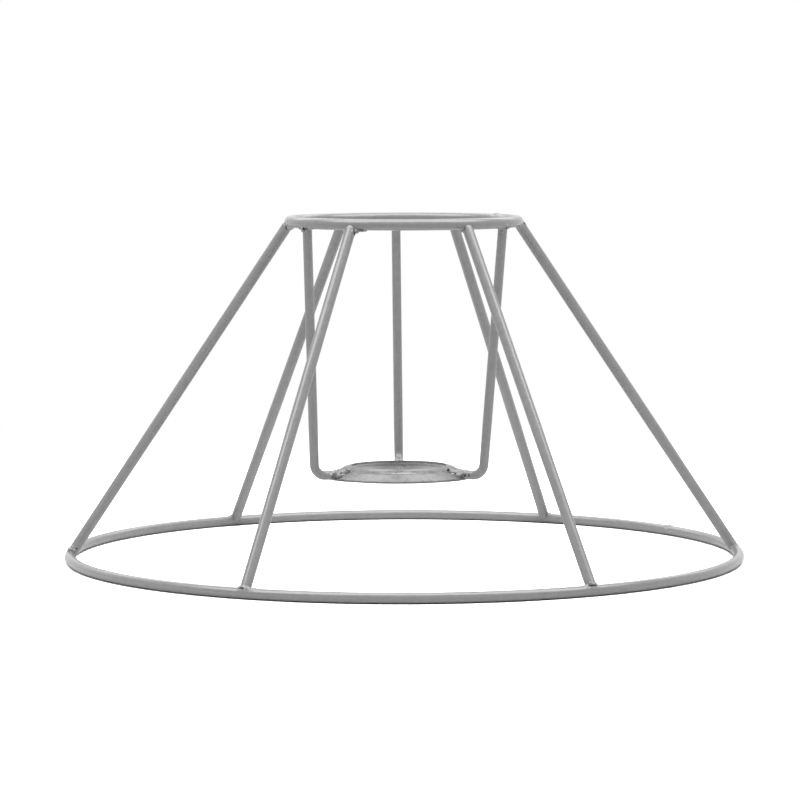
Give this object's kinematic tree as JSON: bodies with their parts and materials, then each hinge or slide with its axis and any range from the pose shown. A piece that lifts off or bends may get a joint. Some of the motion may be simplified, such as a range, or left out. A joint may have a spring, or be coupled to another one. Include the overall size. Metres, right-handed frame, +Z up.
{
  "type": "wire lampshade frame",
  "caption": "Bare conical wire frame for a small lampshade: rings joined by straight struts, with a pressed lamp-holder ring hung inside on bent arms.",
  "frame": {"origin": "on the floor under the middle of the bottom ring", "axes": "+Z up through the rings, +X towards the first strut"},
  "size_m": [0.2, 0.2, 0.101],
  "materials": {
    "wire_coat": "satin",
    "pressing_coat": "satin"
  },
  "bodies": {
    "root": {"top_ring": "wire_coat", "bottom_ring": "wire_coat", "strut_1": "wire_coat", "strut_2": "wire_coat", "strut_3": "wire_coat", "strut_4": "wire_coat", "strut_5": "wire_coat", "strut_6": "wire_coat", "arm_1": "wire_coat", "arm_2": "wire_coat", "arm_3": "wire_coat", "holder_ring": "pressing_coat"}
  },
  "joints": []
}
